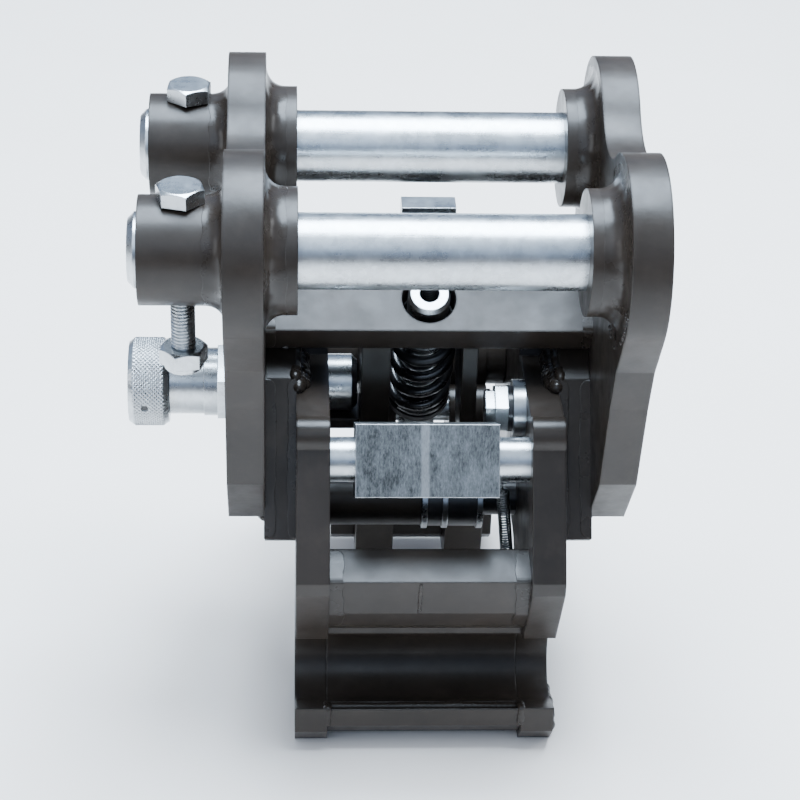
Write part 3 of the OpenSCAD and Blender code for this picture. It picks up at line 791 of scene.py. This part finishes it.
class COUPLER_OT_spatter(bpy.types.Operator):
    """Add the drops of weld spatter on the ears and the drops of paint under the deck's ends"""

    bl_idname = "coupler.spatter"
    bl_label = "Weld spatter"

    def execute(self, context):
        draw = np.random.default_rng(12)
        arc = np.linspace(0.0, math.pi, 9)
        shells = []
        front = CORNERS["inner_boss_front_right"].mean(axis=0)
        rear = CORNERS["inner_boss_rear_left"].mean(axis=0)
        for side, middle, count in ((1.0, front, 11), (-1.0, rear, 5)):
            angle = draw.uniform(3.4, 4.9, count)
            away = draw.uniform(35.5, 38.0, count) * MM
            size = draw.uniform(0.5, 1.1, count) * MM
            for a, r, s in zip(angle, away, size):
                y = middle[1] + r * math.cos(a)
                z = middle[2] + r * math.sin(a)
                x = side * (EAR_IN - s * 0.8 * np.cos(arc))
                shells.append(turned(x, s * np.sin(arc), y, z, around=14))
        add_weld("weld_spatter", shells, crease=80.0)
        edge = DECK_HOLE - DECK_FRONT * DECK_ALONG + DECK_THICK * ROD_DOWN
        blobs = []
        for side in (-1.0, 1.0):
            for x in draw.uniform(40.0, 66.0, 9) * MM:
                size = draw.uniform(0.6, 1.5) * MM
                back = draw.uniform(0.2, 2.2) * MM
                blobs.append(turned(side * x - 1.5 * size * np.cos(arc), size * np.sin(arc),
                                    edge[1] + back, edge[2] + 0.6 * back, around=14))
        add_piece("paint_blobs", blobs, finish("black"), "frame", crease=80.0)
        return {"FINISHED"}


class COUPLER_OT_pin_bolts(bpy.types.Operator):
    """Build the threaded pin bolts and their locking nuts in place of the plain ones"""

    bl_idname = "coupler.pin_bolts"
    bl_label = "Pin bolts and nuts"

    def execute(self, context):
        sizes = context.scene.coupler_hardware
        low, high = CORNERS["pin_bolts"]
        nut_low, nut_high = CORNERS["pin_nuts"]
        boss_top = float(CORNERS["outer_boss_front"][1][2])
        x = float(low[0] + high[0]) / 2.0
        radius = 5.0 * MM
        flats = 17.0 * MM
        dome = 3.0 * MM
        bolts = []
        nuts = []
        turns = (("stick_pin_front", 45.0, 12.0), ("stick_pin_rear", 24.0, 40.0))
        for pin, head_turn, nut_turn in turns:
            y = float(CORNERS[pin].mean(axis=0)[1])
            bolts.append(threaded_shank(x, y, float(low[2]), boss_top + 0.5 * MM, radius,
                                        sizes.thread_depth, sizes.thread_pitch))
            bolts.append(hex_body(x, y, boss_top, float(high[2]) - boss_top, flats, math.radians(head_turn)))
            nut_base = float(nut_low[2]) + dome
            nuts.append(hex_body(x, y, nut_base, float(nut_high[2]) - nut_base, flats,
                                 math.radians(nut_turn)))
            around = np.linspace(0.0, TURN, 64, endpoint=False)[None, :]
            out = np.array([0.0, 5.2, 7.0, 7.75, 7.75, 0.0])[:, None] * MM
            up = np.array([0.0, 0.0, 0.2, 1.0, 3.2, 3.2])[:, None] * MM + nut_low[2]
            collar = [x + out * np.cos(around), y + out * np.sin(around), up + 0.0 * around]
            nuts.append((np.stack(collar, axis=-1), False, True))
        for name, shells, node in (("threaded_pin_bolts", bolts, "pin_bolts"),
                                   ("locking_nuts", nuts, "pin_nuts")):
            piece = add_piece(name, shells, finish("zinc"), "frame", crease=25.0)
            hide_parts(node)
        return {"FINISHED"}


class COUPLER_OT_knob(bpy.types.Operator):
    """Build the knurled knob in place of the plain one"""

    bl_idname = "coupler.knob"
    bl_label = "Knurled knob"

    def execute(self, context):
        sizes = context.scene.coupler_hardware
        low, high = CORNERS["plunger_knob"]
        middle = (low + high) / 2.0
        radius = float(high[2] - low[2]) / 2.0
        length = float(high[0] - low[0])
        chamfer = 1.8 * MM
        ridges = round(TURN * radius / sizes.knurl_pitch)
        across = ridges * 6
        angle = np.linspace(0.0, TURN, across, endpoint=False)[None, :]
        run = np.linspace(chamfer, length - chamfer, 72)[:, None]
        first = np.mod(ridges * angle / TURN + run / sizes.knurl_pitch, 1.0)
        second = np.mod(ridges * angle / TURN - run / sizes.knurl_pitch, 1.0)
        diamond = np.minimum(1.0 - np.abs(2.0 * first - 1.0), 1.0 - np.abs(2.0 * second - 1.0))
        fade = np.minimum(run - chamfer, length - chamfer - run) / (0.8 * MM)
        rad = radius - sizes.knurl_depth * (1.0 - np.clip(1.5 * diamond, 0.0, 1.0) * np.clip(fade, 0.0, 1.0))
        hole = CORNERS["knob_pin"].mean(axis=0)
        hole_angle = math.atan2(hole[2] - middle[2], hole[1] - middle[1])
        hole_radius = 1.55 * MM
        hole_depth = 1.3 * MM
        turn = np.mod(angle - hole_angle + math.pi, TURN) - math.pi
        near = np.hypot(turn * radius, run - float(hole[0] - low[0])) < hole_radius
        rad = np.where(near, radius - hole_depth, rad)
        ends = [(0.0, 0.0), (0.0, 0.45), (0.35, 0.62), (0.35, 0.80), (0.0, 0.84), (0.0, 1.0)]
        ends = np.array(ends)[:, :, None]
        face = radius - chamfer
        outer_x = ends[:, 0] * MM
        outer_r = ends[:, 1] * face
        ones = np.ones_like(angle)
        x = np.concatenate([outer_x * ones, run * ones, [[length]] * ones, [[length]] * ones])
        rad = np.concatenate([outer_r * ones, rad, [[face]] * ones, [[0.0]] * ones])
        grid = [low[0] + x, middle[1] + rad * np.cos(angle), middle[2] + rad * np.sin(angle)]
        shell = (np.stack(grid, axis=-1), False, True)
        piece = add_piece("knurled_knob", [shell], finish("knob"), "lock_plunger", crease=28.0)
        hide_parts("plunger_knob")
        return {"FINISHED"}


class COUPLER_OT_main_spring(bpy.types.Operator):
    """Wind the main spring around the rod in place of its plain sleeve"""

    bl_idname = "coupler.main_spring"
    bl_label = "Main spring"

    def execute(self, context):
        turns = context.scene.coupler_hardware.main_turns
        top = DECK_HOLE + DECK_THICK * ROD_DOWN
        length = 72.0 * MM
        wire = 2.5 * MM
        spring = coil(top, ROD_DOWN, length, 12.0 * MM, wire, turns)
        piece = add_piece("wound_main_spring", [spring], finish("spring"), "frame",
                          crease=80.0)
        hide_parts("main_spring")
        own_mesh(piece)
        return {"FINISHED"}


class COUPLER_OT_small_springs(bpy.types.Operator):
    """Wind the plunger's and the catch's springs in place of their plain sleeves"""

    bl_idname = "coupler.small_springs"
    bl_label = "Small springs"

    def execute(self, context):
        low, high = CORNERS["plunger_spring"]
        middle = (low + high) / 2.0
        length = float(high[0] - low[0])
        wire = 1.25 * MM
        turns = 3.6
        inner = coil((low[0], middle[1], middle[2]), X_AXIS, length, 9.75 * MM, wire, turns)
        piece = add_piece("wound_plunger_spring", [inner], finish("spring"), "frame",
                          crease=80.0)
        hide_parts("plunger_spring")
        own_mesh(piece)

        peg = CORNERS["catch_peg"]
        stud = CORNERS["spring_hook_stud"]
        top = np.array([float(peg[1][0]) - 2.0 * MM, *peg.mean(axis=0)[1:]])
        foot = np.array([float(stud[0][0]) + 3.0 * MM, *stud.mean(axis=0)[1:]])
        along = foot - top
        run = float(np.linalg.norm(along))
        along = along / run
        wire = 0.4 * MM
        loop = 5.0 * MM
        ring_radius = 2.5 * MM
        turns = context.scene.coupler_hardware.catch_turns
        shells = [coil(top + loop * along, along, run - 2.0 * loop, 2.45 * MM, wire, turns, dead=0.2,
                       sides=8, steps=18)]
        for middle, away in ((top, 1.0), (foot, -1.0)):
            bend = np.linspace(-0.85 * math.pi, 0.85 * math.pi, 30)
            centre = middle + away * (loop - ring_radius) * along * 0.5
            sideways = unit(np.cross(along, X_AXIS))
            path = centre - ring_radius * (np.cos(bend)[:, None] * along * away
                                           - np.sin(bend)[:, None] * sideways)
            path = np.concatenate([path, (middle + away * loop * along)[None, :]])
            shells.append(bead(path, 1.05 * wire, 50.0 * MM, 5, step=0.3 * MM))
        piece = add_piece("wound_catch_spring", shells, finish("coil"), "frame", crease=80.0)
        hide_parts("catch_spring")
        bpy.context.view_layer.update()
        piece.parent = None
        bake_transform(piece)
        return {"FINISHED"}


class COUPLER_OT_rod_thread(bpy.types.Operator):
    """Add the thread and the lining of the rod's tapped end, darkened as painted shade inside the hole"""

    bl_idname = "coupler.rod_thread"
    bl_label = "Rod end thread"

    def execute(self, context):
        pitch = context.scene.coupler_hardware.thread_pitch
        depth = 18.0 * MM
        mouth = DECK_HOLE - 4.2 * MM * ROD_DOWN
        ridge = coil(mouth, ROD_DOWN, depth, 4.35 * MM, 0.52 * MM, depth / pitch, dead=0.05, sides=8,
                     steps=36)
        # The lining is a dark sheet inside the hole, put there as painted shade.
        wall = 4.12 * MM
        sunk = 4.33 * MM
        angle = np.linspace(0.0, TURN, 64, endpoint=False)[None, :, None]
        ring = np.cos(angle) * X_AXIS + np.sin(angle) * DECK_ALONG
        down = np.array([depth + wall, depth + wall, 0.0, 0.0, depth, depth])[:, None, None] * ROD_DOWN
        out = np.array([0.0, sunk, sunk, wall, wall, 0.0])[:, None, None] * ring
        lining = (mouth + down + out, False, True)
        add_piece("rod_end_thread", [ridge, lining], finish("bore"), "rod")
        return {"FINISHED"}


class COUPLER_OT_stage(bpy.types.Operator):
    """Set up the floor, the soft lights and the camera"""

    bl_idname = "coupler.stage"
    bl_label = "Studio"

    def execute(self, context):
        settings = context.scene.coupler_stage
        span = 5.0
        floor_mesh = bpy.data.meshes.new("studio_floor")
        level = FLOOR_Z - 0.2 * MM
        floor_mesh.from_pydata([(-span, -span, level), (span, -span, level), (span, span, level),
                                (-span, span, level)], [], [(0, 1, 2, 3)])
        floor_mesh.materials.append(floor_material())
        floor = bpy.data.objects.new("studio_floor", floor_mesh)
        context.scene.collection.objects.link(floor)
        lamps = (
            ("top_soft", (0.1, 0.35, 1.5), (0.0, 0.05, -0.05), 1.2, 86.0, (0.70, 0.84, 1.0)),
            ("front_sky", (-0.5, -1.2, 1.5), (0.0, 0.0, -0.1), 1.4, 7.0, (0.66, 0.80, 1.0)),
            ("left_soft", (-1.5, -0.5, 0.5), (0.0, 0.0, -0.05), 0.7, 2.6, (0.93, 0.97, 1.0)),
            ("right_rim", (1.3, 0.3, 0.6), (0.0, 0.05, 0.0), 0.5, 3.0, (0.95, 0.98, 1.0)),
        )
        for name, place, aim, size, power, tint in lamps:
            light = bpy.data.lights.new(name, "AREA")
            light.shape = "SQUARE"
            light.size = size
            light.energy = power * settings.light
            light.color = tint
            lamp = bpy.data.objects.new(name, light)
            lamp.matrix_world = look_at(np.array(place), np.array(aim))
            context.scene.collection.objects.link(lamp)
        world = bpy.data.worlds.new("Pale Surround")
        world.use_nodes = True
        tree = world.node_tree
        backdrop = tree.nodes["Background"]
        backdrop.inputs["Strength"].default_value = settings.sky
        direction = add_node(tree, "TexCoord").outputs["Generated"]
        height = add_node(tree, "SeparateXYZ", links={"Vector": direction}).outputs[2]
        warm_horizon = (0.165, 0.125, 0.095)
        low_sky = blend_colour(tree, steps(tree, height, 0.0, 0.42), warm_horizon, (0.45, 0.62, 0.92))
        tint = blend_colour(tree, steps(tree, height, 0.42, 0.95), low_sky, (0.80, 0.90, 1.0))
        seen = add_node(tree, "LightPath").outputs["Is Camera Ray"]
        shown = blend_colour(tree, seen, tint, (0.86, 0.87, 0.88))
        tree.links.new(shown, backdrop.inputs["Color"])
        context.scene.world = world
        lens = bpy.data.cameras.new("camera")
        lens.lens = 103.5
        lens.sensor_width = 36.0
        lens.clip_start = 0.01
        camera = bpy.data.objects.new("camera", lens)
        camera.matrix_world = camera_place()
        context.scene.collection.objects.link(camera)
        context.scene.camera = camera
        return {"FINISHED"}


def placement(right, up, back, place):
    """A matrix from three directions and a place."""
    return Matrix([(right[i], up[i], back[i], place[i]) for i in range(3)] + [(0.0, 0.0, 0.0, 1.0)])


def look_at(place, aim):
    """A placement whose -Z points from place to aim, with +Z upwards as far as it can."""
    back = unit(place - aim)
    right = unit(np.cross(np.array([0.0, 0.0, 1.0]), back))
    return placement(right, np.cross(back, right), back, place)


def camera_place():
    """The camera looks down from the front, turned slightly to the right and rolled a little."""
    pitch = math.radians(31.484)
    yaw = math.radians(3.417)
    roll = math.radians(1.962)
    place = np.array([-0.06156, -0.79083, 0.41748])
    ahead = np.array([math.sin(yaw) * math.cos(pitch), math.cos(yaw) * math.cos(pitch), -math.sin(pitch)])
    level = np.array([math.cos(yaw), -math.sin(yaw), 0.0])
    upright = np.cross(level, ahead)
    right = math.cos(roll) * level + math.sin(roll) * upright
    up = math.cos(roll) * upright - math.sin(roll) * level
    return placement(right, up, -ahead, place)


# ---------------------------------------------------------------- panel and registration

OPERATORS = (
    COUPLER_OT_stage,
    COUPLER_OT_finishes,
    COUPLER_OT_boss_fillets,
    COUPLER_OT_weld_beads,
    COUPLER_OT_spatter,
    COUPLER_OT_pin_bolts,
    COUPLER_OT_knob,
    COUPLER_OT_main_spring,
    COUPLER_OT_small_springs,
    COUPLER_OT_rod_thread,
)
SETTINGS = {
    "coupler_finish": CouplerFinish,
    "coupler_welds": CouplerWelds,
    "coupler_hardware": CouplerHardware,
    "coupler_stage": CouplerStage,
}


class COUPLER_PT_panel(bpy.types.Panel):
    """Lists the coupler's settings and operators in the sidebar"""

    bl_label = "Coupler"
    bl_idname = "COUPLER_PT_panel"
    bl_space_type = "VIEW_3D"
    bl_region_type = "UI"
    bl_category = "Coupler"

    def draw(self, context):
        for name, kind in SETTINGS.items():
            group = getattr(context.scene, name)
            box = self.layout.box()
            for field in kind.__annotations__:
                box.prop(group, field)
        for operator in OPERATORS:
            self.layout.operator(operator.bl_idname)


def register():
    """Registers the settings, operators and panel."""
    for name, kind in SETTINGS.items():
        bpy.utils.register_class(kind)
        setattr(bpy.types.Scene, name, PointerProperty(type=kind))
    for operator in OPERATORS:
        bpy.utils.register_class(operator)
    bpy.utils.register_class(COUPLER_PT_panel)


def unregister():
    """Removes what register() added."""
    bpy.utils.unregister_class(COUPLER_PT_panel)
    for operator in reversed(OPERATORS):
        bpy.utils.unregister_class(operator)
    for name, kind in SETTINGS.items():
        delattr(bpy.types.Scene, name)
        bpy.utils.unregister_class(kind)


def main():
    """Builds everything in order."""
    register()
    for operator in OPERATORS:
        group, name = operator.bl_idname.split(".")
        getattr(getattr(bpy.ops, group), name)()


if __name__ == "__main__":
    main()
